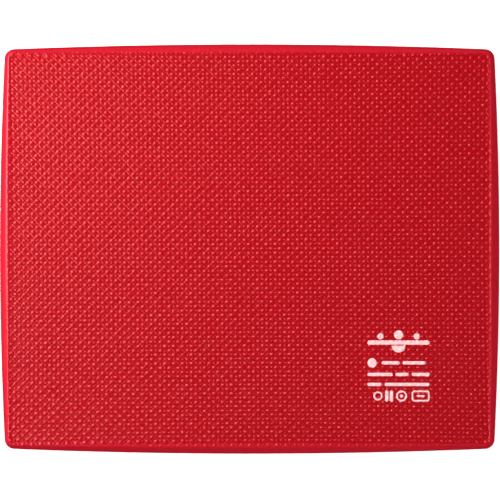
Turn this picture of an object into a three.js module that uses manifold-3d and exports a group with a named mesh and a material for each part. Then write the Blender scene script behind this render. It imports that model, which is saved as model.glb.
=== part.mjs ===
// Balance pad: a slab of closed-cell foam to stand on, with its own moulded skin.
//
// Millimetres, +Z up. The origin is the centre of the underside. +X runs along the long side and +Y
// along the short side, so that the printed block lies in the +X, -Y corner of the upper face.
//
// The pad lies in layers that touch face to face: a foam core, an embossed skin on the upper face and
// on the underside, and one smooth skin round all four sides. The ink films lie flush in the upper skin.

import * as THREE from "three";
import { mergeVertices } from "three/addons/utils/BufferGeometryUtils.js";
import Module from "manifold-3d";

// ---- Driving dimensions ----

const LENGTH = 500; // X, across the waist at mid-width
const WIDTH = 410; // Y, across the waist at mid-length
const THICKNESS = 60; // Z

const WAIST_BOW = 5.2; // how far each side bows out between its corners, at the waist
const WAIST_CORNER = 9; // plan radius of a corner at the waist

const FACE_LENGTH = 480; // X, the flat part of the upper face and of the underside
const FACE_WIDTH = 391; // Y, the same
const FACE_BOW = 0.6;
const FACE_CORNER = 6;

const SKIN = 1.2; // thickness of every skin
const GAP = 0.3; // clearance between neighbouring pieces
const RIM_ANGLE = 0.25; // radians round the shoulder, from the flat face to the face skin's edge
const SEAM_ANGLE = 0.32; // and to the side skin's edge

const INK = 0.3; // thickness of an ink film

const CORNER_STEPS = 6; // segments in a quarter-circle corner
const SIDE_STEPS = 10; // segments along a side
const WRAP_STEPS = 14; // segments from the upper shoulder round the waist to the lower shoulder
const RIM_STEPS = 2; // segments down the turned rim of a face skin
const ROUND_STEPS = 3; // pairs of segments in a quarter turn of an ink mark

// Layout of the printed block, from its left edge and downwards from its top edge
const PRINT_LEFT = 117.5;
const PRINT_TOP = -81;
const PRINT_WIDTH = 62;
const BALL = 4.6; // radius of the ball in the middle of the emblem
const SMALL_BALL = 3.1; // radius of the balls beside it
const SMALL_BALL_OFFSET = 18;
const PLANK_HEIGHT = 4.2;
const DOME = 7; // radius of the dome under the plank
const EMBLEM_GAP = 0.9;
const DASH_HEIGHT = 3.4;
const DASH_GAP = 3;
const BAR_ROUNDNESS = 0.45; // corner radius of a bar, as a share of its smaller side
const ROW_DROPS = [32.5, 44, 54]; // middles of the three rows of dashes
const ROW_DASHES = [
  [18, 23],
  [25, 13, 18],
  [14, 45],
]; // widths of the dashes in each row
const BADGE = 4.6; // radius of the disc that starts the first row
const BADGE_COLUMN = 14; // where the dashes beside it start
const ICON_DROP = 65.5; // middle of the row of icons
const ICON_COLUMNS = [10.5, 21.5, 34, 53]; // middles of the icons
const ICON_HEIGHT = 11;
const LINE_WEIGHT = 1.7; // stroke of the rings and the frame
const SMALL_RING = 4.6; // radius of the plain ring
const SOLE_WIDTH = 3.4;
const SOLE_OFFSET = 2.3; // from the middle of the pair of soles to the middle of one
const TARGET_DOT = 1.7; // radius of the dot in the target
const PAD_ICON_WIDTH = 18;
const PAD_ICON_CORNER = 2.6;
const PAD_ICON_BAR_WIDTH = 8;
const PAD_ICON_BAR_HEIGHT = 2;

// ---- Colours and finishes ----

const SKIN_LOOK = { color: 0xcc1a2b, roughness: 0.42, metalness: 0 };
const CORE_LOOK = { color: 0xd0303a, roughness: 0.9, metalness: 0 };
const INK_LOOK = { color: 0xf4eeee, roughness: 0.5, metalness: 0 };

const wasm = await Module();
wasm.setup();

// ---- Solids with manifold-3d ----

function toSolid(geometry) {
  const bare = geometry.clone();
  bare.deleteAttribute("normal");
  bare.deleteAttribute("uv");
  const merged = mergeVertices(bare);
  return new wasm.Manifold(
    new wasm.Mesh({
      numProp: 3,
      vertProperties: merged.attributes.position.array,
      triVerts: new Uint32Array(merged.index.array),
    }),
  );
}

function toGeometry(solid) {
  const cut = solid.getMesh();
  const geometry = new THREE.BufferGeometry();
  geometry.setAttribute("position", new THREE.BufferAttribute(cut.vertProperties, cut.numProp));
  geometry.setIndex(new THREE.BufferAttribute(cut.triVerts, 1));
  geometry.computeVertexNormals();
  return geometry;
}

// ---- The pad's outer form ----

// A plan outline, anticlockwise: a rounded rectangle whose sides bow outwards in the middle.
function planOutline({ halfX, halfY, bow, corner }) {
  const flatX = halfX - bow;
  const flatY = halfY - bow;
  const points = [];
  const corners = [
    [1, 1, 0],
    [-1, 1, 1],
    [-1, -1, 2],
    [1, -1, 3],
  ];
  for (const [signX, signY, quarter] of corners) {
    const centre = new THREE.Vector2(signX * (flatX - corner), signY * (flatY - corner));
    for (let i = 0; i <= CORNER_STEPS; i++) {
      const angle = (quarter + i / CORNER_STEPS) * (Math.PI / 2);
      points.push(new THREE.Vector2(Math.cos(angle), Math.sin(angle)).multiplyScalar(corner).add(centre));
    }
    const from = points.at(-1);
    const to = quarter % 2 ? new THREE.Vector2(from.x, -from.y) : new THREE.Vector2(-from.x, from.y);
    for (let i = 1; i < SIDE_STEPS; i++) points.push(from.clone().lerp(to, i / SIDE_STEPS));
  }
  return points.map(
    ({ x, y }) =>
      new THREE.Vector2(
        x * (1 + (bow / flatX) * (1 - (y / flatY) ** 2)),
        y * (1 + (bow / flatY) * (1 - (x / flatX) ** 2)),
      ),
  );
}

// The ring of the pad's surface at an angle round the shoulder: 0 is the edge of the upper face, a
// quarter turn is the waist and a half turn is the edge of the underside. depth is how far the ring
// lies inside that surface.
function surfaceRing(angle, depth = 0) {
  const out = Math.sin(angle);
  const mix = (face, waist) => THREE.MathUtils.lerp(face, waist, out);
  const outline = planOutline({
    halfX: mix(FACE_LENGTH, LENGTH) / 2 - depth,
    halfY: mix(FACE_WIDTH, WIDTH) / 2 - depth,
    bow: mix(FACE_BOW, WAIST_BOW),
    corner: mix(FACE_CORNER, WAIST_CORNER) - depth,
  });
  const z = THICKNESS / 2 + (THICKNESS / 2 - depth) * Math.cos(angle);
  return outline.map(({ x, y }) => new THREE.Vector3(x, y, z));
}

// The rings from one angle to another, both included.
function surfaceRings(from, to, steps, depth = 0) {
  return Array.from({ length: steps + 1 }, (_, i) =>
    surfaceRing(THREE.MathUtils.lerp(from, to, i / steps), depth),
  );
}

// The skin of closed rings that have equal numbers of points. A closed section joins the last ring to
// the first; an open one is capped at both ends, whose rings are star-shaped about the Z axis.
function loft(rings, closedSection) {
  const count = rings[0].length;
  const points = rings.flat();
  const index = [];
  const bands = closedSection ? rings.length : rings.length - 1;
  for (let r = 0; r < bands; r++) {
    const here = r * count;
    const below = ((r + 1) % rings.length) * count;
    for (let i = 0; i < count; i++) {
      const j = (i + 1) % count;
      index.push(here + i, below + i, below + j, here + i, below + j, here + j);
    }
  }
  if (!closedSection) {
    const last = (rings.length - 1) * count;
    const top = points.push(new THREE.Vector3(0, 0, rings[0][0].z)) - 1;
    const bottom = points.push(new THREE.Vector3(0, 0, rings.at(-1)[0].z)) - 1;
    for (let i = 0; i < count; i++) {
      const j = (i + 1) % count;
      index.push(top, i, j, bottom, last + j, last + i);
    }
  }
  const geometry = new THREE.BufferGeometry().setFromPoints(points);
  geometry.setIndex(index);
  geometry.computeVertexNormals();
  return geometry;
}

// ---- Ink marks: each is a function that gives its flat shape, grown all round by a margin ----

function traceRoundedRectangle(path, x, y, halfX, halfY, radius) {
  const insetX = halfX - radius;
  const insetY = halfY - radius;
  path.absarc(x + insetX, y + insetY, radius, 0, 0.5 * Math.PI);
  path.absarc(x - insetX, y + insetY, radius, 0.5 * Math.PI, Math.PI);
  path.absarc(x - insetX, y - insetY, radius, Math.PI, 1.5 * Math.PI);
  path.absarc(x + insetX, y - insetY, radius, 1.5 * Math.PI, 2 * Math.PI);
  return path;
}

function bar(x, y, width, height, radius = BAR_ROUNDNESS * Math.min(width, height)) {
  return (grow) =>
    traceRoundedRectangle(new THREE.Shape(), x, y, width / 2 + grow, height / 2 + grow, radius + grow);
}

function disc(x, y, radius) {
  return bar(x, y, 2 * radius, 2 * radius, radius);
}

// A rounded rectangle drawn as a line, which lies inside its width and height.
function frame(x, y, width, height, radius) {
  return (grow) => {
    const shape = bar(x, y, width, height, radius)(grow);
    const inset = LINE_WEIGHT + grow;
    const halves = [width / 2 - inset, height / 2 - inset];
    shape.holes.push(traceRoundedRectangle(new THREE.Path(), x, y, ...halves, radius - inset));
    return shape;
  };
}

function ring(x, y, radius) {
  return frame(x, y, 2 * radius, 2 * radius, radius);
}

// A half disc with its flat side up, at y.
function dome(x, y, radius) {
  return (grow) =>
    new THREE.Shape()
      .moveTo(x + radius + grow, y + grow)
      .lineTo(x - radius - grow, y + grow)
      .absarc(x, y, radius + grow, Math.PI, 1.5 * Math.PI)
      .absarc(x, y, radius + grow, 1.5 * Math.PI, 2 * Math.PI);
}

// A row of dashes, left to right from startX.
function dashes(startX, y, widths) {
  let x = startX;
  return widths.map((width) => {
    const dash = bar(x + width / 2, y, width, DASH_HEIGHT);
    x += width + DASH_GAP;
    return dash;
  });
}

// A ball, with a smaller one on each side, on a plank that rocks on a dome.
function emblemMarks() {
  const middle = PRINT_LEFT + PRINT_WIDTH / 2;
  const plankTop = PRINT_TOP - 2 * BALL - EMBLEM_GAP;
  const smallBallY = plankTop + EMBLEM_GAP + SMALL_BALL;
  return {
    print_emblem_ball: disc(middle, PRINT_TOP - BALL, BALL),
    print_emblem_left_ball: disc(middle - SMALL_BALL_OFFSET, smallBallY, SMALL_BALL),
    print_emblem_right_ball: disc(middle + SMALL_BALL_OFFSET, smallBallY, SMALL_BALL),
    print_emblem_plank: bar(middle, plankTop - PLANK_HEIGHT / 2, PRINT_WIDTH, PLANK_HEIGHT),
    print_emblem_dome: dome(middle, plankTop - PLANK_HEIGHT - EMBLEM_GAP, DOME),
  };
}

// A badge and two dashes, then two rows of dashes alone.
function rowMarks() {
  const marks = { print_row1_badge: disc(PRINT_LEFT + BADGE, PRINT_TOP - ROW_DROPS[0], BADGE) };
  ROW_DASHES.forEach((widths, r) => {
    const startX = PRINT_LEFT + (r === 0 ? BADGE_COLUMN : 0);
    dashes(startX, PRINT_TOP - ROW_DROPS[r], widths).forEach((dash, i) => {
      marks[`print_row${r + 1}_dash${i + 1}`] = dash;
    });
  });
  return marks;
}

// A plain ring, a pair of soles, a target and the pad itself.
function iconMarks() {
  const y = PRINT_TOP - ICON_DROP;
  const [ringX, solesX, targetX, padX] = ICON_COLUMNS.map((column) => PRINT_LEFT + column);
  return {
    print_icon_ring: ring(ringX, y, SMALL_RING),
    print_icon_left_sole: bar(solesX - SOLE_OFFSET, y, SOLE_WIDTH, ICON_HEIGHT),
    print_icon_right_sole: bar(solesX + SOLE_OFFSET, y, SOLE_WIDTH, ICON_HEIGHT),
    print_icon_target_ring: ring(targetX, y, ICON_HEIGHT / 2),
    print_icon_target_dot: disc(targetX, y, TARGET_DOT),
    print_icon_pad_frame: frame(padX, y, PAD_ICON_WIDTH, ICON_HEIGHT, PAD_ICON_CORNER),
    print_icon_pad_bar: bar(padX, y, PAD_ICON_BAR_WIDTH, PAD_ICON_BAR_HEIGHT),
  };
}

// ---- Sub-parts ----

function extrude(shape, bottom, top) {
  const options = { depth: top - bottom, bevelEnabled: false, curveSegments: ROUND_STEPS };
  return new THREE.ExtrudeGeometry(shape, options).translate(0, 0, bottom);
}

// The foam itself, inside all the skins.
function foamCore() {
  return loft(surfaceRings(0, Math.PI, WRAP_STEPS + 2 * RIM_STEPS, SKIN + GAP), false);
}

// The smooth skin round the four sides, between the two face skins.
function sideSkin() {
  const outside = surfaceRings(SEAM_ANGLE, Math.PI - SEAM_ANGLE, WRAP_STEPS);
  const inside = surfaceRings(Math.PI - SEAM_ANGLE, SEAM_ANGLE, WRAP_STEPS, SKIN);
  return loft([...outside, ...inside], true);
}

// The skin of the upper face, whose rim turns down over the shoulder.
function faceSkin() {
  const rings = surfaceRings(0, RIM_ANGLE, RIM_STEPS);
  const innerEdge = rings.at(-1).map(({ x, y }) => new THREE.Vector3(x, y, THICKNESS - SKIN));
  return loft([...rings, innerEdge], false);
}

// The same skin, turned over for the underside.
function undersideSkin() {
  return faceSkin().rotateX(Math.PI).translate(0, 0, THICKNESS);
}

// The upper skin, with a shallow pocket for each ink film.
function printedFaceSkin(marks) {
  const floor = THICKNESS - INK - GAP;
  const clear = THICKNESS + GAP;
  const cut = marks.reduce(
    (skin, mark) => skin.subtract(toSolid(extrude(mark(GAP), floor, clear))),
    toSolid(faceSkin()),
  );
  return toGeometry(cut);
}

function inkFilm(mark) {
  return extrude(mark(0), THICKNESS - INK, THICKNESS);
}

// ---- The pad ----

const pad = new THREE.Group();

function add(name, geometry, look) {
  const mesh = new THREE.Mesh(geometry, new THREE.MeshStandardMaterial(look));
  mesh.name = name;
  pad.add(mesh);
}

const marks = { ...emblemMarks(), ...rowMarks(), ...iconMarks() };

add("foam_core", foamCore(), CORE_LOOK);
add("top_skin", printedFaceSkin(Object.values(marks)), SKIN_LOOK);
add("bottom_skin", undersideSkin(), SKIN_LOOK);
add("side_skin", sideSkin(), SKIN_LOOK);
for (const [name, mark] of Object.entries(marks)) add(name, inkFilm(mark), INK_LOOK);

export default pad;
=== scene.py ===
"""Looks of the balance pad: a red slab of closed-cell foam, embossed with beads on both faces and smooth
on its bulging sides, with a block of white print. Metres, +Z up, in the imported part's own frame.

The three skins share one surface. A face skin is a fine grid with rings of the same mesh round it, which
run over the shoulder to the seam, and the side skin carries those rings on round the waist."""

import math

import bmesh
import bpy
import numpy as np
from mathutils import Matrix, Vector, geometry


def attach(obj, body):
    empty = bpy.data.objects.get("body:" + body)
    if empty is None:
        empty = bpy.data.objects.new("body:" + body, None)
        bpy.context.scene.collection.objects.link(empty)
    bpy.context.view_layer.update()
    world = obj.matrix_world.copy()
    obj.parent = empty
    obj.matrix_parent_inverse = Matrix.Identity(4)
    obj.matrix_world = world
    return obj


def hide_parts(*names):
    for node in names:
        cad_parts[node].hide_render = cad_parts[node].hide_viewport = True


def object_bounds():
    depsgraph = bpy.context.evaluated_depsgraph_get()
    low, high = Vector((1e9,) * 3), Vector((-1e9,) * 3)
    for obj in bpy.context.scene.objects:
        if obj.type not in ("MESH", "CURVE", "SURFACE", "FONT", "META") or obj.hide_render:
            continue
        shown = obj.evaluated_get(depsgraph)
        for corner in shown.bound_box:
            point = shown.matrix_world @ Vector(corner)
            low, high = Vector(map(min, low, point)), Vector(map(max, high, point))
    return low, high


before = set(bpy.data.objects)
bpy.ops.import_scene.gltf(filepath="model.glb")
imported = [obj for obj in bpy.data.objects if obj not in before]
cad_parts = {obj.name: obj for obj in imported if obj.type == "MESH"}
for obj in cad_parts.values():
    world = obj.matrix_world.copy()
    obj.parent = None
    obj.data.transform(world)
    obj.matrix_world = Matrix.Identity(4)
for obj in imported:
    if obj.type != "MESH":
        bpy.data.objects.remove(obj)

MM = 0.001

# ---- The frame's sizes ----

CAD_LOW, CAD_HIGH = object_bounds()
LENGTH, WIDTH, THICKNESS = CAD_HIGH - CAD_LOW
TOP = CAD_HIGH.z
MIDDLE = (CAD_LOW.z + CAD_HIGH.z) / 2

# ---- The pad's form ----

FACE_MARGIN_X = 10 * MM  # from the waist in to the edge of the flat face, at the middle of a side
FACE_MARGIN_Y = 9.5 * MM
WAIST_BOW = 5.2 * MM  # how far a side bows out between its corners, at the waist
FACE_BOW = 0.6 * MM  # and at the edge of the flat face
WAIST_CORNER = 9 * MM
FACE_CORNER = 6 * MM
SEAM_ANGLE = 0.3  # radians round the shoulder, from the flat face to the edge of the side skin
SKIN_DEPTH = 2.2 * MM
CORE_CLEARANCE = 0.3 * MM

# ---- The embossing ----

BEAD_PITCH_X = 8.844 * MM  # between beads in a row; every other row is half a pitch along
BEAD_PITCH_Y = 8.819 * MM
BEAD_RADIUS = 2.1 * MM
BEAD_HEIGHT = 1.2 * MM
BEAD_ROUNDNESS = 1.05  # exponent of a bead's cap: 1 is a plain dome, more is softer at the edge
RIDGE_SPACING = BEAD_PITCH_X * BEAD_PITCH_Y / math.hypot(BEAD_PITCH_X, BEAD_PITCH_Y)
RIDGE_HALF_WIDTH = 0.7 * MM  # the fine ridges that frame each bead in a diamond
RIDGE_HEIGHT = 0.3 * MM
BEAD_VARIATION = 0.06
BEAD_WANDER = 0.08 * MM
BEAD_SEEDS = (10, 20)  # for the straight rows and the staggered ones
LATTICE_TWIST = math.radians(0.31)
LATTICE_SHIFT = (0.014, 0.448)  # in pitches
LATTICE_CROWDING = (0.0082, 0.0271)  # share that the mean pitch out to the reach loses, in a row and a column
LATTICE_PINCH = 0.0172  # share that the pitch gains at the reach in the other direction
LATTICE_REACH = LENGTH / 2

# ---- The mesh ----

CELL = BEAD_PITCH_X / 12
CORNER_CELLS = 6  # mesh cells from the middle of a corner to its end
BORDER = 8.2 * MM  # from the fine grid to the edge of the flat face
BORDER_RINGS = 11
RIM_RINGS = 6
SIDE_RINGS = 36
INNER_SIDE_RINGS = 9
CORE_RINGS = 25
CORE_STRIDE = 4  # stations of a skin for each one of the core
MERGE_DISTANCE = 0.01 * MM
FADE_START = 5.5 * MM  # from the fine grid to where the embossing starts to fade
FADE_END = 11 * MM

INK_STEP = CELL / 1.3
INK_SPACING = 0.6 * INK_STEP  # at least this between the grid and the outline
FACING_UP = 0.9
INK_TOP = 0.12 * MM  # over the skin
INK_BOTTOM = 0.02 * MM

# ---- Colours, as linear light ----

RED_LIGHT = (0.475, 0.0095, 0.0215)
RED_DARK = (0.452, 0.0088, 0.0203)
# Painted shade: the skin's red is darkened towards this in the hollows between the beads
RED_HOLLOW_SHADE = (0.335, 0.0021, 0.0053)
INK_WHITE = (0.77, 0.515, 0.515)
INK_THIN = (0.72, 0.31, 0.32)
CELL_WALL = (0.72, 0.08, 0.09)
SKIN_IOR = 2.6
SKIN_SHEEN = (1, 0.32, 0.35)  # the skin's reflections are tinted by its red
INK_SPECULAR = 0.4

# ---- The surfaces' fine grain: sizes of their swells, depths, and ranges of roughness ----

NOISE_DETAIL = 2
TOP_ROUGHNESS = 0.23
SIDE_ROUGHNESS = 0.3
ROUGHNESS_SPREAD = 0.05
HOLLOW_DULLNESS = 0.08
SWELL_SIZE = 70 * MM
PATCH_SIZE = 9 * MM
RIPPLE_SIZE = 6 * MM
RIPPLE_DEPTH = 0.05 * MM
SPECKLE_SIZE = 1.3 * MM
SPECKLE_DETAIL = 3
SPECKLE_DEPTH = 0.03 * MM
INK_THINNING = (0, 0.6)  # shares of the thin ink's colour, over
INK_HOLLOWS = (0.75, 1.6)  # this range of hollow and speckle together
INK_ROUGHNESS = (0.4, 0.6)
FOAM_CELL = 0.9 * MM
FOAM_WALL = 0.2  # where a cell's wall ends, as distance to the edge in the texture's own measure
FOAM_ROUGHNESS = (0.95, 0.8)
FOAM_DEPTH = 0.3 * MM

# ---- The studio: radiances are shares of white ----

WORLD_RADIANCE = 0.04
FLOOR_REACH = 100
FLOOR_GLOW = 0.62
FLOOR_WHITE = 0.8
FLOOR_ROUGHNESS = 0.9
FLOOR_LIT = (1.5, 5)  # metres from the pad over which the lights' own pool fades
SOFTBOXES = [  # name, place, size, radiance, and whether it shows in reflections
    ("window_light", (-0.8, 0.4, 0.26), (1.0, 0.4), 3.4, True),
    ("small_window_light", (-0.7, 0.3, 0.3), (0.3, 0.3), 1.6, True),
    ("west_light", (-0.6, -0.2, 1.0), (0.16, 0.16), 11.3, True),
    ("low_west_light", (-0.6, -0.12, 0.75), (0.16, 0.16), 9.3, True),
    ("far_light", (-1.5, 0.3, 0.9), (0.35, 0.35), 11.4, True),
    ("window_wash", (-0.8, 0.4, 0.26), (1.0, 0.4), 3.5, False),
    ("west_wash", (-0.6, -0.16, 0.88), (0.23, 0.23), 7.5, False),
    ("far_wash", (-1.5, 0.3, 0.9), (0.35, 0.35), 10.6, False),
    ("north_wash", (-0.15, 0.4, 0.7), (0.5, 0.5), 4.2, False),
    ("sky_light", (0, 0, 3), (6, 6), 1.6, False),
    ("floor_bounce", (0, 0, 0.001), (3, 3), 2.57, False),
]
CAMERA_LENS = 400
CAMERA_SENSOR = 36
VIEW_WIDTH = 500.8 * MM  # at half the pad's height
VIEW_CENTRE = (0.4 * MM, -1.0 * MM)

# The export's texture layout, in shares of the unit square
UV_EDGE = 0.01
UV_SIDE = 1 - 2 * UV_EDGE
UV_OUTER_STRIP = (0.01, 0.82)
UV_INNER_STRIP = (0.84, 0.99)


def cells_across(size):
    return 2 * round((size / 2 - BORDER) / CELL)


CELLS_X = cells_across(LENGTH - 2 * FACE_MARGIN_X)
CELLS_Y = cells_across(WIDTH - 2 * FACE_MARGIN_Y)
GRID_X = CELLS_X * CELL / 2
GRID_Y = CELLS_Y * CELL / 2
AROUND = 2 * (CELLS_X + CELLS_Y)


# ---- Outlines and surface points ----


def mix(a, b, t):
    return a + (b - a) * t


def side_stations(cells, half_along, half_out, corner):
    """One side of a rounded rectangle, from the middle of its first corner almost to the middle of the next:
    the distances along it and out to it."""
    j = np.arange(cells)
    start = np.clip(j / CORNER_CELLS, 0, 1)
    end = np.clip((j - cells) / CORNER_CELLS + 1, 0, 1)
    angle = (start - 1 + end) * math.pi / 4
    straight = np.clip((j - CORNER_CELLS) / (cells - 2 * CORNER_CELLS), 0, 1) * 2 - 1
    along = straight * (half_along - corner) + corner * np.sin(angle)
    out = half_out - corner + corner * np.cos(angle)
    return along, out


def outline(half_x, half_y, bow, corner):
    """Plan points of a rounded rectangle with bowed sides, anticlockwise from its lower right corner."""
    flat_x, flat_y = half_x - bow, half_y - bow
    right_along, right_out = side_stations(CELLS_Y, flat_y, flat_x, corner)
    top_along, top_out = side_stations(CELLS_X, flat_x, flat_y, corner)
    x = np.concatenate([right_out, -top_along, -right_out, top_along])
    y = np.concatenate([right_along, top_out, -right_along, -top_out])
    bowed_x = x * (1 + bow / flat_x * (1 - (y / flat_y) ** 2))
    bowed_y = y * (1 + bow / flat_y * (1 - (x / flat_x) ** 2))
    return np.column_stack([bowed_x, bowed_y])


def grid_border():
    """The plan points of the fine grid's own border, in the same order as an outline's."""
    x, y = np.arange(CELLS_X) * CELL - GRID_X, np.arange(CELLS_Y) * CELL - GRID_Y
    right = np.column_stack([np.full(CELLS_Y, GRID_X), y])
    top = np.column_stack([-x, np.full(CELLS_X, GRID_Y)])
    return np.concatenate([right, top, -right, -top])


def surface_ring(angle, depth=0.0):
    """The ring of the pad's surface at an angle round the shoulder, 0 at the edge of the upper face and a
    half turn at the edge of the underside, moved in by depth."""
    out = math.sin(angle)
    plan = outline(
        LENGTH / 2 - mix(FACE_MARGIN_X, 0, out) - depth,
        WIDTH / 2 - mix(FACE_MARGIN_Y, 0, out) - depth,
        mix(FACE_BOW, WAIST_BOW, out),
        mix(FACE_CORNER, WAIST_CORNER, out) - depth,
    )
    z = MIDDLE + (THICKNESS / 2 - depth) * math.cos(angle)
    return np.column_stack([plan, np.full(len(plan), z)])


# ---- Relief ----


def hashed(i, j, seed):
    """A repeatable number from -1 to 1 for each pair of whole numbers."""
    value = np.sin(i * 12.9898 + j * 78.233 + seed * 37.719) * 43758.5453
    return 2 * (value - np.floor(value)) - 1


def lattice_coordinates(x, y):
    """Where plan points lie on the bead lattice, in pitches. It is turned and stretched a little, as the
    foam's growth in the mould leaves it."""
    c, s = math.cos(LATTICE_TWIST), math.sin(LATTICE_TWIST)
    along, across = x * c + y * s, y * c - x * s
    far_x, far_y = (x / LATTICE_REACH) ** 2, (y / LATTICE_REACH) ** 2
    u = along / BEAD_PITCH_X * (1 + LATTICE_CROWDING[0] * far_x - LATTICE_PINCH * far_y)
    v = across / BEAD_PITCH_Y * (1 + LATTICE_CROWDING[1] * far_y - LATTICE_PINCH * far_x)
    return u + LATTICE_SHIFT[0], v + LATTICE_SHIFT[1]


def bead_caps(u, v, seed):
    """The height of a square lattice of domes, one at each pair of whole numbers."""
    i, j = np.round(u), np.round(v)
    du = (u - i) * BEAD_PITCH_X + BEAD_WANDER * hashed(i, j, seed)
    dv = (v - j) * BEAD_PITCH_Y + BEAD_WANDER * hashed(i, j, seed + 1)
    size = 1 + BEAD_VARIATION * hashed(i, j, seed + 2)
    return BEAD_HEIGHT * size * np.clip(1 - (du**2 + dv**2) / BEAD_RADIUS**2, 0, 1) ** BEAD_ROUNDNESS


def relief(x, y):
    """The height of the beads over the level between them, at plan points. They stand in staggered rows."""
    u, v = lattice_coordinates(x, y)
    return bead_caps(u, v, BEAD_SEEDS[0]) + bead_caps(u - 0.5, v - 0.5, BEAD_SEEDS[1])


def diagonals(points):
    """Where points lie across the two families of ridges, in spacings: a ridge runs at each half."""
    u, v = lattice_coordinates(points[:, 0], points[:, 1])
    return {"rise": u + v, "fall": u - v}


# ---- Meshes ----


class Points:
    """A growing list of vertices."""

    def __init__(self):
        self.blocks, self.count = [], 0

    def add(self, block):
        """Adds a block of vertices and returns their numbers."""
        self.blocks.append(block)
        self.count += len(block)
        return np.arange(self.count - len(block), self.count)

    def all(self):
        return np.concatenate(self.blocks)


def quads_between(rows):
    """Quads between successive rows of vertex numbers. They face out of the pad where the rows run
    anticlockwise and each lies further down or out than the last."""
    rows = np.array(rows)
    here, below = rows[:-1], rows[1:]
    return np.stack([here, below, np.roll(below, -1, 1), np.roll(here, -1, 1)], -1).reshape(-1, 4)


def vertex_normals(points, quads):
    """Smooth normals at the points, from the quads round them."""
    p = points[quads]
    quad_normals = np.cross(p[:, 2] - p[:, 0], p[:, 3] - p[:, 1])
    sums = np.zeros_like(points)
    for corner in range(4):
        for axis in range(3):
            sums[:, axis] += np.bincount(quads[:, corner], quad_normals[:, axis], len(points))
    return sums / np.linalg.norm(sums, axis=1, keepdims=True).clip(1e-12)


def make_object(name, points, smooth_faces, flat_faces, material):
    """An object from vertices and two lists of arrays of faces, each array with one number of corners."""
    groups = [*smooth_faces, *flat_faces]
    corners = np.concatenate([g.ravel() for g in groups])
    sizes = np.concatenate([np.full(len(g), g.shape[1]) for g in groups])
    flat = np.arange(len(sizes)) >= sum(len(g) for g in smooth_faces)
    mesh = bpy.data.meshes.new(name)
    mesh.vertices.add(len(points))
    mesh.vertices.foreach_set("co", points.astype(np.float32).ravel())
    mesh.loops.add(len(corners))
    mesh.loops.foreach_set("vertex_index", corners.astype(np.int32))
    mesh.polygons.add(len(sizes))
    mesh.polygons.foreach_set("loop_start", (np.cumsum(sizes) - sizes).astype(np.int32))
    mesh.polygons.foreach_set("use_smooth", ~flat)
    mesh.update(calc_edges=True)
    mesh.materials.append(material)
    obj = bpy.data.objects.new(name, mesh)
    bpy.context.scene.collection.objects.link(obj)
    return obj


def set_number(obj, name, values):
    """Stores a number for each vertex, which a material can read."""
    attribute = obj.data.attributes.new(name, "FLOAT", "POINT")
    attribute.data.foreach_set("value", values.astype(np.float32))


def set_uv(obj, uv):
    layer = obj.data.uv_layers.new(name="OFBake")
    layer.uv.foreach_set("vector", uv.astype(np.float32).ravel())


def plan_uv(points, strip):
    """Plan points laid into a strip (low v, high v) of the unit square, without distortion."""
    low, high = points.min(0), points.max(0)
    scale = min(UV_SIDE / (high - low)[0], (strip[1] - strip[0]) / (high - low)[1])
    return (points - low) * scale + [UV_EDGE, strip[0]]


# ---- The pad's surface ----


def smoothstep(low, high, value):
    t = np.clip((value - low) / (high - low), 0, 1)
    return t * t * (3 - 2 * t)


def face_blocks():
    """The upper face as blocks of plan and height: the fine grid, and the rings from its border to the seam,
    with the share of the embossing that each keeps."""
    x, y = np.arange(CELLS_X + 1) * CELL - GRID_X, np.arange(CELLS_Y + 1) * CELL - GRID_Y
    grid_y, grid_x = np.meshgrid(y, x, indexing="ij")
    grid = np.column_stack([grid_x.ravel(), grid_y.ravel(), np.full(grid_x.size, TOP)])
    blocks, shares = [grid], [1.0]
    border, face_edge = grid_border(), surface_ring(0)
    for k in range(1, BORDER_RINGS + 1):
        t = k / BORDER_RINGS
        plan = mix(border, face_edge[:, :2], t)
        blocks.append(np.column_stack([plan, np.full(AROUND, TOP)]))
        shares.append(1 - smoothstep(FADE_START, FADE_END, t * BORDER))
    for k in range(1, RIM_RINGS + 1):
        angle = SEAM_ANGLE * k / RIM_RINGS
        blocks.append(surface_ring(angle))
        reach = BORDER + FACE_MARGIN_X * math.sin(angle)
        shares.append(1 - smoothstep(FADE_START, FADE_END, reach))
    return blocks, shares


def embossed_face():
    """The upper face's blocks with the relief in them, and for each vertex how hollow it is and the share of
    the embossing that it keeps."""
    blocks, shares = face_blocks()
    reliefs = [relief(b[:, 0], b[:, 1]) for b in blocks]
    peak = reliefs[0].max()
    for block, height, share in zip(blocks, reliefs, shares):
        block[:, 2] += (height - peak) * share
    hollow = np.concatenate([(1 - h / peak) * share for h, share in zip(reliefs, shares)])
    embossed = np.concatenate([np.full(len(h), share) for h, share in zip(reliefs, shares)])
    return blocks, {"hollow": hollow, "embossed": embossed}


def turned_over(block):
    """A block of the upper face as the underside has it, mirrored in the middle plane."""
    return block * [1, 1, -1] + [0, 0, 2 * MIDDLE]


def grid_quads(numbers):
    here = numbers.reshape(CELLS_Y + 1, CELLS_X + 1)
    return np.stack([here[:-1, :-1], here[:-1, 1:], here[1:, 1:], here[1:, :-1]], -1).reshape(-1, 4)


def grid_rim(numbers):
    """The fine grid's border vertices, in the order of a ring's."""
    here = numbers.reshape(CELLS_Y + 1, CELLS_X + 1)
    return np.concatenate([here[:-1, -1], here[-1, :0:-1], here[:0:-1, 0], here[0, :-1]])


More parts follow.
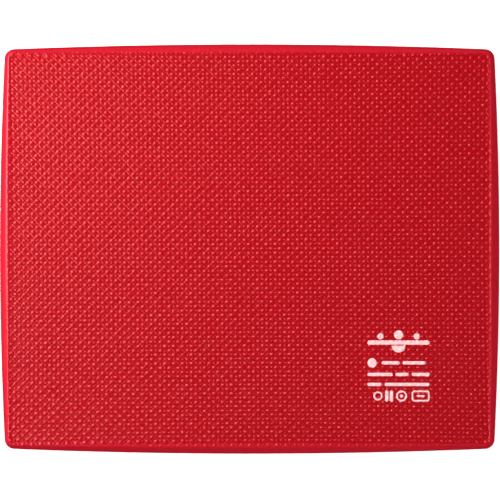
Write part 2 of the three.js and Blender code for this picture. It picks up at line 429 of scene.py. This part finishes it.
def build_surface():
    """The whole outer surface, and what each skin needs of it."""
    points = Points()
    blocks, numbers = embossed_face()
    upper = [points.add(b) for b in blocks]
    angles = np.linspace(SEAM_ANGLE, math.pi - SEAM_ANGLE, SIDE_RINGS + 1)[1:-1]
    sides = [points.add(surface_ring(a)) for a in angles]
    lower = [points.add(turned_over(b)) for b in blocks]
    upper_rows = [grid_rim(upper[0]), *upper[1:]]
    lower_rows = [*lower[:0:-1], grid_rim(lower[0])]
    faces = {
        "upper": np.concatenate([grid_quads(upper[0]), quads_between(upper_rows)]),
        "side": quads_between([upper_rows[-1], *sides, lower_rows[0]]),
        "lower": np.concatenate([quads_between(lower_rows), grid_quads(lower[0])[:, ::-1]]),
    }
    plain = np.zeros(AROUND * len(sides))
    numbers = {name: np.concatenate([values, plain, values]) for name, values in numbers.items()}
    numbers |= diagonals(points.all())
    normals = vertex_normals(points.all(), np.concatenate(list(faces.values())))
    return points, faces, normals, numbers, upper_rows[-1], lower_rows[0]


# ---- The skins and the core ----


def make_skin(name, outer_faces, inner_faces, points, normals, numbers, uv, material):
    """A closed skin: its share of the outer surface, and inner faces against the foam."""
    everything = np.concatenate([f.ravel() for f in [outer_faces, *inner_faces]])
    used, renumbered = np.unique(everything, return_inverse=True)
    groups, start = [], 0
    for faces in [outer_faces, *inner_faces]:
        groups.append(renumbered[start : start + faces.size].reshape(faces.shape))
        start += faces.size
    skin = make_object(name, points[used], groups[:1], groups[1:], material)
    # The shared surface's own normals, so that no seam shows. Where they are zero, Blender's are used.
    given = np.zeros((len(everything), 3), np.float32)
    given[: outer_faces.size] = normals[outer_faces.ravel()]
    skin.data.normals_split_custom_set(given)
    for key, values in numbers.items():
        everywhere = np.zeros(len(points))
        everywhere[: len(values)] = values
        set_number(skin, key, everywhere[used])
    set_uv(skin, uv(everything, outer_faces.size))
    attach(skin, "root")
    return skin


def face_uv(points):
    """The layout of a face skin: its outside seen from above, and its inside in a strip beside that."""

    def layout(corners, outer):
        plan = points[corners][:, :2]
        return np.concatenate([
            plan_uv(plan[:outer], UV_OUTER_STRIP),
            plan_uv(plan[outer:], UV_INNER_STRIP),
        ])

    return layout


def side_uv(outer_bands, inner_bands):
    """The layout of the side skin: one strip for the outside of each side, and one for the inside."""
    lengths = np.array([CELLS_Y, CELLS_X, CELLS_Y, CELLS_X])
    ends = np.cumsum(lengths)
    station = np.arange(AROUND)
    side = np.searchsorted(ends, station, side="right")
    first = (ends - lengths)[side]
    strips = len(lengths) + 1
    uv = np.zeros((outer_bands + inner_bands, AROUND, 4, 2))
    for corner, (down, on) in enumerate([(0, 0), (1, 0), (1, 1), (0, 1)]):
        for band in range(outer_bands + inner_bands):
            if band < outer_bands:
                strip = side
                along = (station - first + on) / lengths[side]
                share = (band + down) / outer_bands
            else:
                strip = strips - 1
                along = (station + on) / AROUND
                share = (band - outer_bands + down) / inner_bands
            uv[band, :, corner, 0] = UV_EDGE + UV_SIDE * along
            uv[band, :, corner, 1] = (strip + UV_EDGE + UV_SIDE * share) / strips
    return uv.reshape(-1, 2)


def add_skins(material, side_material):
    """The three skins. Returns the heights of the upper face's fine grid."""
    points, faces, normals, numbers, upper_seam, lower_seam = build_surface()
    inner_angles = np.linspace(math.pi - SEAM_ANGLE, SEAM_ANGLE, INNER_SIDE_RINGS)
    inner_side = [points.add(surface_ring(a, SKIN_DEPTH)) for a in inner_angles]
    inner_upper = [points.add(surface_ring(a, SKIN_DEPTH)) for a in (SEAM_ANGLE, 0)]
    inner_lower = [points.add(surface_ring(a, SKIN_DEPTH)) for a in (math.pi, math.pi - SEAM_ANGLE)]
    inner_faces = {
        "upper": [quads_between([upper_seam, *inner_upper]), inner_upper[-1][None, ::-1]],
        "side": [quads_between([lower_seam, *inner_side, upper_seam])],
        "lower": [quads_between([*inner_lower, lower_seam]), inner_lower[0][None, :]],
    }
    where = points.all()
    flat = face_uv(where)
    wrapped = side_uv(SIDE_RINGS, INNER_SIDE_RINGS + 1)
    for name, part, node, uv, look in [
        ("embossed_top_skin", "upper", "top_skin", flat, material),
        ("moulded_side_skin", "side", "side_skin", lambda corners, outer: wrapped, side_material),
        ("embossed_bottom_skin", "lower", "bottom_skin", flat, material),
    ]:
        skin = make_skin(name, faces[part], inner_faces[part], where, normals, numbers, uv, look)
        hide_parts(node)
    return where[: (CELLS_X + 1) * (CELLS_Y + 1), 2].reshape(CELLS_Y + 1, CELLS_X + 1)


def add_core(material):
    """The block of foam inside the skins. Its rings have fewer stations than the skins' rings."""
    points = Points()
    angles = np.linspace(0, math.pi, CORE_RINGS)
    rows = [points.add(surface_ring(a, SKIN_DEPTH + CORE_CLEARANCE)[::CORE_STRIDE]) for a in angles]
    caps = np.array([rows[0], rows[-1][::-1]])
    core = make_object("cellular_foam_core", points.all(), [quads_between(rows)], [caps], material)
    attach(core, "root")
    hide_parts("foam_core")


# ---- The print ----


def node_outline(node):
    """The edges round a flat CAD piece's upper face, as arrays of their starts and ends in plan."""
    shape = bmesh.new()
    shape.from_mesh(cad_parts[node].data)
    bmesh.ops.remove_doubles(shape, verts=shape.verts, dist=MERGE_DISTANCE)
    shape.normal_update()
    starts, ends = [], []
    for edge in shape.edges:
        if sum(face.normal.z > FACING_UP for face in edge.link_faces) == 1:
            a, b = (v.co.xy for v in edge.verts)
            steps = math.ceil((b - a).length / INK_STEP)
            stops = [a.lerp(b, i / steps) for i in range(steps + 1)]
            starts += stops[:-1]
            ends += stops[1:]
    shape.free()
    return np.array(starts), np.array(ends)


def inside(points, starts, ends):
    """Which plan points lie inside the shape that the edges bound."""
    x, y = points[:, :1], points[:, 1:]
    (x0, y0), (x1, y1) = starts.T, ends.T
    crosses = (y0 > y) != (y1 > y)
    rise = np.where(y1 == y0, 1, y1 - y0)
    return (crosses & (x < x0 + (y - y0) * (x1 - x0) / rise)).sum(axis=1) % 2 == 1


def clearance(points, edge_points):
    """The distance from each point to the nearest of the edge points."""
    return np.linalg.norm(points[:, None] - edge_points, axis=-1).min(axis=1)


def fill_outline(starts, ends):
    """Triangles over the shape that the edges bound, on the points of a grid as fine as the skin's."""
    low, high = starts.min(0), starts.max(0)
    x, y = (np.arange(low[k] + INK_STEP / 2, high[k], INK_STEP) for k in (0, 1))
    grid = np.stack(np.meshgrid(x, y), -1).reshape(-1, 2)
    grid = grid[inside(grid, starts, ends)]
    grid = grid[clearance(grid, starts) > INK_SPACING]
    points = [Vector(p) for p in np.concatenate([starts, ends, grid])]
    edges = [(i, i + len(starts)) for i in range(len(starts))]
    made, _, triangles, *_ = geometry.delaunay_2d_cdt(points, edges, [], 0, MERGE_DISTANCE)
    made, triangles = np.array([p[:] for p in made]), np.array(triangles)
    return made, triangles[inside(made[triangles].mean(axis=1), starts, ends)]


def skin_height(plan, heights):
    """The height of the upper skin at plan points, worked out between its grid's points."""
    u, v = (plan[:, 0] + GRID_X) / CELL, (plan[:, 1] + GRID_Y) / CELL
    i, j = np.floor(u).astype(int), np.floor(v).astype(int)
    s, t = u - i, v - j
    near = mix(heights[j, i], heights[j, i + 1], s)
    far = mix(heights[j + 1, i], heights[j + 1, i + 1], s)
    return mix(near, far, t)


def border_edges(triangles):
    """The edges that only one triangle has, in that triangle's direction."""
    edges = np.concatenate([triangles[:, [0, 1]], triangles[:, [1, 2]], triangles[:, [2, 0]]])
    there = {(a, b) for a, b in edges}
    return np.array([(a, b) for a, b in edges if (b, a) not in there])


def add_ink_film(node, heights, material):
    """One printed mark: a film that follows the beads under it."""
    plan, triangles = fill_outline(*node_outline(node))
    level = skin_height(plan, heights)
    upper = np.column_stack([plan, level + INK_TOP])
    lower = np.column_stack([plan, level + INK_BOTTOM])
    count = len(plan)
    a, b = border_edges(triangles).T
    walls = np.column_stack([a, a + count, b + count, b])
    under = triangles[:, ::-1] + count
    points = np.concatenate([upper, lower])
    film = make_object(node.replace("print_", "ink_"), points, [triangles], [walls, under], material)
    set_number(film, "hollow", (TOP - np.tile(level, 2)) / (TOP - heights.min()))
    set_number(film, "embossed", np.ones(len(points)))
    for name, values in diagonals(points).items():
        set_number(film, name, values)
    corners = np.concatenate([triangles.ravel(), walls.ravel(), under.ravel()])
    set_uv(film, plan_uv(points[corners][:, :2], (UV_EDGE, 1 - UV_EDGE)))
    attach(film, "root")
    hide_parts(node)


# ---- Materials ----


def new_material(name):
    material = bpy.data.materials.new(name)
    material.use_nodes = True
    nodes = material.node_tree.nodes
    return material, nodes, material.node_tree.links, nodes["Principled BSDF"]


def noise(nodes, links, size, detail=NOISE_DETAIL):
    """A noise texture in the pad's own space, whose swells are about size across. Returns its output."""
    place = nodes.new("ShaderNodeTexCoord")
    texture = nodes.new("ShaderNodeTexNoise")
    texture.inputs["Scale"].default_value = 1 / size
    texture.inputs["Detail"].default_value = detail
    links.new(place.outputs["Object"], texture.inputs["Vector"])
    return texture.outputs["Fac"]


def number(nodes, name):
    """The output of a number that the mesh stores for each vertex."""
    attribute = nodes.new("ShaderNodeAttribute")
    attribute.attribute_name = name
    return attribute.outputs["Fac"]


def ranged(nodes, links, value, low, high, from_low=0.0, from_high=1.0):
    """The value, brought from one range to another."""
    spread = nodes.new("ShaderNodeMapRange")
    for socket, amount in zip(spread.inputs[1:5], (from_low, from_high, low, high)):
        socket.default_value = amount
    links.new(value, spread.inputs["Value"])
    return spread.outputs["Result"]


def blended(nodes, links, amount, low, high):
    """A colour between low and high, each a colour or another node's output."""
    blend = nodes.new("ShaderNodeMix")
    blend.data_type = "RGBA"
    links.new(amount, blend.inputs["Factor"])
    for socket, colour in (("A", low), ("B", high)):
        target = next(i for i in blend.inputs if i.name == socket and i.type == "RGBA")
        if isinstance(colour, tuple):
            target.default_value = (*colour, 1)
        else:
            links.new(colour, target)
    return next(o for o in blend.outputs if o.type == "RGBA")


def calculated(nodes, links, operation, a, b=None):
    """The output of a sum on one or two values, each a number or another node's output."""
    node = nodes.new("ShaderNodeMath")
    node.operation = operation
    for socket, value in zip(node.inputs, (a, b)):
        if isinstance(value, (int, float)):
            socket.default_value = value
        elif value:
            links.new(value, socket)
    return node.outputs["Value"]


def ridge_slope(nodes, links, name):
    """The slope across one family of ridges, each a bell curve in section."""
    phase = calculated(nodes, links, "FRACT", number(nodes, name))
    across = calculated(nodes, links, "SUBTRACT", phase, 0.5)
    across = calculated(nodes, links, "MULTIPLY", across, RIDGE_SPACING / RIDGE_HALF_WIDTH)
    squared = calculated(nodes, links, "MULTIPLY", across, across)
    bell = calculated(nodes, links, "EXPONENT", calculated(nodes, links, "MULTIPLY", squared, -1.0))
    slope = calculated(nodes, links, "MULTIPLY", across, bell)
    slope = calculated(nodes, links, "MULTIPLY", slope, -2 * RIDGE_HEIGHT / RIDGE_HALF_WIDTH)
    return calculated(nodes, links, "MULTIPLY", slope, number(nodes, "embossed"))


def ridged_normal(nodes, links):
    """The surface's normal, tilted by both families of ridges, which are finer than the mesh."""
    normal = nodes.new("ShaderNodeNewGeometry").outputs["Normal"]
    for name, side in (("rise", 1), ("fall", -1)):
        across = Vector((1 / BEAD_PITCH_X, side / BEAD_PITCH_Y, 0)).normalized()
        tilt = nodes.new("ShaderNodeVectorMath")
        tilt.operation = "SCALE"
        tilt.inputs["Vector"].default_value = -across
        links.new(ridge_slope(nodes, links, name), tilt.inputs["Scale"])
        tilted = nodes.new("ShaderNodeVectorMath")
        links.new(normal, tilted.inputs[0])
        links.new(tilt.outputs["Vector"], tilted.inputs[1])
        normal = tilted.outputs["Vector"]
    unit = nodes.new("ShaderNodeVectorMath")
    unit.operation = "NORMALIZE"
    links.new(normal, unit.inputs[0])
    return unit.outputs["Vector"]


def bumped(nodes, links, bsdf, height, depth, normal=None):
    """Gives the surface the unevenness of a height output, which swings by depth."""
    bump = nodes.new("ShaderNodeBump")
    bump.inputs["Distance"].default_value = depth
    links.new(height, bump.inputs["Height"])
    if normal:
        links.new(normal, bump.inputs["Normal"])
    links.new(bump.outputs["Normal"], bsdf.inputs["Normal"])


def skin_material(name, roughness):
    """The foam's own moulded skin: even red, with painted shade darkening it in the hollows, and tinted
    reflections.
    """
    material, nodes, links, bsdf = new_material(name)
    swell = noise(nodes, links, SWELL_SIZE)
    base = blended(nodes, links, swell, RED_DARK, RED_LIGHT)
    depth = number(nodes, "hollow")
    # Painted shade: the red darkens with how hollow each point is
    links.new(blended(nodes, links, depth, base, RED_HOLLOW_SHADE), bsdf.inputs["Base Color"])
    patches = noise(nodes, links, PATCH_SIZE)
    patchy = ranged(nodes, links, patches, roughness - ROUGHNESS_SPREAD, roughness + ROUGHNESS_SPREAD)
    duller = ranged(nodes, links, number(nodes, "hollow"), 0, HOLLOW_DULLNESS)
    links.new(calculated(nodes, links, "ADD", patchy, duller), bsdf.inputs["Roughness"])
    bsdf.inputs["IOR"].default_value = SKIN_IOR
    bsdf.inputs["Specular Tint"].default_value = (*SKIN_SHEEN, 1)
    ripple = noise(nodes, links, RIPPLE_SIZE)
    bumped(nodes, links, bsdf, ripple, RIPPLE_DEPTH, ridged_normal(nodes, links))
    return material


def ink_material():
    """White screen print, thinner and pinker in the hollows between the beads."""
    material, nodes, links, bsdf = new_material("white_print")
    speckle = noise(nodes, links, SPECKLE_SIZE, SPECKLE_DETAIL)
    sparse = calculated(nodes, links, "ADD", number(nodes, "hollow"), speckle)
    thin = ranged(nodes, links, sparse, *INK_THINNING, *INK_HOLLOWS)
    links.new(blended(nodes, links, thin, INK_WHITE, INK_THIN), bsdf.inputs["Base Color"])
    links.new(ranged(nodes, links, speckle, *INK_ROUGHNESS), bsdf.inputs["Roughness"])
    bsdf.inputs["Specular IOR Level"].default_value = INK_SPECULAR
    bumped(nodes, links, bsdf, speckle, SPECKLE_DEPTH, ridged_normal(nodes, links))
    return material


def core_material():
    """Cut foam: tiny closed cells with pale walls."""
    material, nodes, links, bsdf = new_material("cellular_foam")
    place = nodes.new("ShaderNodeTexCoord")
    cells = nodes.new("ShaderNodeTexVoronoi")
    cells.feature = "DISTANCE_TO_EDGE"
    cells.inputs["Scale"].default_value = 1 / FOAM_CELL
    links.new(place.outputs["Object"], cells.inputs["Vector"])
    wall = ranged(nodes, links, cells.outputs["Distance"], 1, 0, 0, FOAM_WALL)
    links.new(blended(nodes, links, wall, RED_DARK, CELL_WALL), bsdf.inputs["Base Color"])
    links.new(ranged(nodes, links, wall, *FOAM_ROUGHNESS), bsdf.inputs["Roughness"])
    bumped(nodes, links, bsdf, wall, FOAM_DEPTH)
    return material


# ---- The studio ----


def add_floor():
    """A plain white floor. It glows a little beside the pad and fully where the lights don't reach."""
    mesh = bpy.data.meshes.new("floor")
    corners = [(x * FLOOR_REACH, y * FLOOR_REACH, 0) for x, y in ((-1, -1), (1, -1), (1, 1), (-1, 1))]
    mesh.from_pydata(corners, [], [(0, 1, 2, 3)])
    material, nodes, links, bsdf = new_material("floor_white")
    bsdf.inputs["Base Color"].default_value = (FLOOR_WHITE, FLOOR_WHITE, FLOOR_WHITE, 1)
    bsdf.inputs["Roughness"].default_value = FLOOR_ROUGHNESS
    bsdf.inputs["Specular IOR Level"].default_value = 0
    bsdf.inputs["Emission Color"].default_value = (1, 1, 1, 1)
    place = nodes.new("ShaderNodeTexCoord")
    distance = nodes.new("ShaderNodeVectorMath")
    distance.operation = "LENGTH"
    links.new(place.outputs["Object"], distance.inputs[0])
    glow = ranged(nodes, links, distance.outputs["Value"], FLOOR_GLOW, 1, *FLOOR_LIT)
    links.new(glow, bsdf.inputs["Emission Strength"])
    mesh.materials.append(material)
    floor = bpy.data.objects.new("floor", mesh)
    bpy.context.scene.collection.objects.link(floor)
    floor.visible_glossy = False
    floor.visible_diffuse = False


def add_softbox(name, place, size, radiance, reflected):
    """A rectangular light at place, facing the middle of the pad."""
    data = bpy.data.lights.new(name, "AREA")
    data.shape = "RECTANGLE"
    data.size, data.size_y = size
    data.energy = radiance * math.pi * size[0] * size[1]
    light = bpy.data.objects.new(name, data)
    light.location = place
    light.rotation_euler = (Vector((0, 0, TOP)) - light.location).to_track_quat("-Z", "Y").to_euler()
    light.visible_camera = False
    light.visible_glossy = reflected
    data.cycles.use_multiple_importance_sampling = reflected
    bpy.context.scene.collection.objects.link(light)


def set_world():
    """Even dim light from all round. The camera sees it as white."""
    world = bpy.data.worlds.new("studio")
    world.use_nodes = True
    nodes, links = world.node_tree.nodes, world.node_tree.links
    seen = nodes.new("ShaderNodeLightPath").outputs["Is Camera Ray"]
    strength = ranged(nodes, links, seen, WORLD_RADIANCE, 1)
    background = nodes["Background"]
    background.inputs["Color"].default_value = (1, 1, 1, 1)
    links.new(strength, background.inputs["Strength"])
    bpy.context.scene.world = world
    world.cycles_visibility.glossy = False
    bpy.context.scene.view_settings.view_transform = "Standard"


def add_camera():
    """Straight above the pad, far away on a long lens."""
    data = bpy.data.cameras.new("camera")
    data.lens = CAMERA_LENS
    data.sensor_width = CAMERA_SENSOR
    data.clip_end = 4 * FLOOR_REACH
    camera = bpy.data.objects.new("camera", data)
    distance = VIEW_WIDTH * CAMERA_LENS / CAMERA_SENSOR
    camera.location = (*VIEW_CENTRE, MIDDLE + distance)
    bpy.context.scene.collection.objects.link(camera)
    bpy.context.scene.camera = camera


# ---- The scene ----

add_camera()
set_world()
add_floor()
for softbox in SOFTBOXES:
    add_softbox(*softbox)

top_heights = add_skins(
    skin_material("moulded_skin", TOP_ROUGHNESS),
    skin_material("moulded_side", SIDE_ROUGHNESS),
)
add_core(core_material())
ink = ink_material()
for node in sorted(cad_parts):
    if node.startswith("print_"):
        add_ink_film(node, top_heights, ink)

# With albedo and normal to guide it, the denoiser left dark specks on a plain side seen from low down.
bpy.context.scene.cycles.denoising_input_passes = "RGB"
